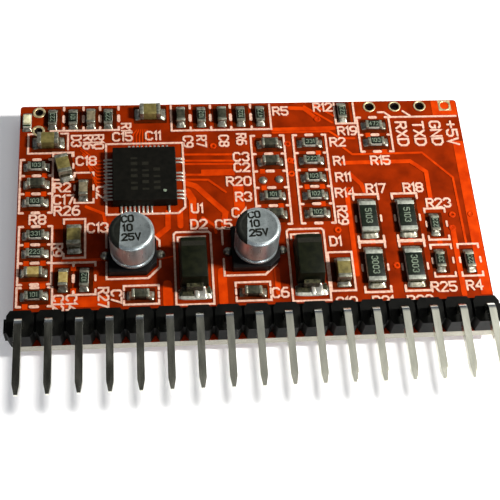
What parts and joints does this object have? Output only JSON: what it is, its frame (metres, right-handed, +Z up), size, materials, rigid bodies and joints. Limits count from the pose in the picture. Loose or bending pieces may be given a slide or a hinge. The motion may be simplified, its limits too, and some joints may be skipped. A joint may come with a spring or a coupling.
{
  "type": "servo driver board",
  "caption": "Small single-in-line driver board: a controller chip, drum capacitors and chip parts on one side, with a bent pin row along its front edge.",
  "frame": {"origin": "bottom centre of the whole module's box: under its middle, at the height of the pin tails' ends", "axes": "+X along the pin row, +Y from the pin row to the serial port edge, +Z up out of the component side"},
  "size_m": [0.0436, 0.031, 0.0067],
  "materials": {
    "solder_mask_board": "semi-gloss orange-red solder mask over glass-fibre board",
    "black_plastic": "matte moulded nylon",
    "tinned_metal": "tin plate, slightly warm and dull",
    "epoxy": "moulded epoxy, fine grain",
    "can_aluminium": "satin drawn aluminium",
    "chip_resistor": "black glaze between tinned ends",
    "chip_ceramic": "tan ceramic between tinned ends",
    "led_lens": "pale clear resin"
  },
  "bodies": {
    "root": {"board": "solder_mask_board", "capacitor_base_left": "black_plastic", "capacitor_base_right": "black_plastic", "capacitor_can_left": "can_aluminium", "capacitor_can_right": "can_aluminium", "capacitor_column_a_1": "chip_ceramic", "capacitor_column_a_4": "chip_ceramic", "capacitor_column_a_5": "chip_ceramic", "capacitor_rear_left_3": "chip_ceramic", "capacitor_rear_middle_1": "chip_ceramic", "capacitor_rear_middle_3": "chip_ceramic", "controller_chip": "epoxy", "diode_body_left": "epoxy", "diode_body_right": "epoxy", "diode_lead_front_left": "tinned_metal", "diode_lead_front_right": "tinned_metal", "diode_lead_rear_left": "tinned_metal", "diode_lead_rear_right": "tinned_metal", "header_pin_01": "tinned_metal", "header_pin_02": "tinned_metal", "header_pin_03": "tinned_metal", "header_pin_04": "tinned_metal", "header_pin_05": "tinned_metal", "header_pin_06": "tinned_metal", "header_pin_07": "tinned_metal", "header_pin_08": "tinned_metal", "header_pin_09": "tinned_metal", "header_pin_10": "tinned_metal", "header_pin_11": "tinned_metal", "header_pin_12": "tinned_metal", "header_pin_13": "tinned_metal", "header_pin_14": "tinned_metal", "header_pin_15": "tinned_metal", "header_pin_16": "tinned_metal", "header_pin_17": "tinned_metal", "indicator_led": "led_lens", "large_resistor_1": "chip_resistor", "large_resistor_2": "chip_resistor", "large_resistor_3": "chip_resistor", "large_resistor_4": "chip_resistor", "medium_capacitor_1": "chip_ceramic", "medium_capacitor_2": "chip_ceramic", "medium_capacitor_3": "chip_ceramic", "medium_capacitor_4": "chip_ceramic", "medium_capacitor_5": "chip_ceramic", "pin_strip": "black_plastic", "resistor_column_a_2": "chip_resistor", "resistor_column_b_1": "chip_resistor", "resistor_column_b_2": "chip_resistor", "resistor_column_b_3": "chip_resistor", "resistor_column_b_4": "chip_resistor", "resistor_column_b_5": "chip_resistor", "resistor_port_pair_1": "chip_resistor", "resistor_port_pair_2": "chip_resistor", "resistor_rear_left_1": "chip_resistor", "resistor_rear_left_2": "chip_resistor", "resistor_rear_left_4": "chip_resistor", "resistor_rear_middle_2": "chip_resistor", "resistor_rear_middle_4": "chip_resistor", "resistor_rear_middle_5": "chip_resistor"}
  },
  "joints": []
}
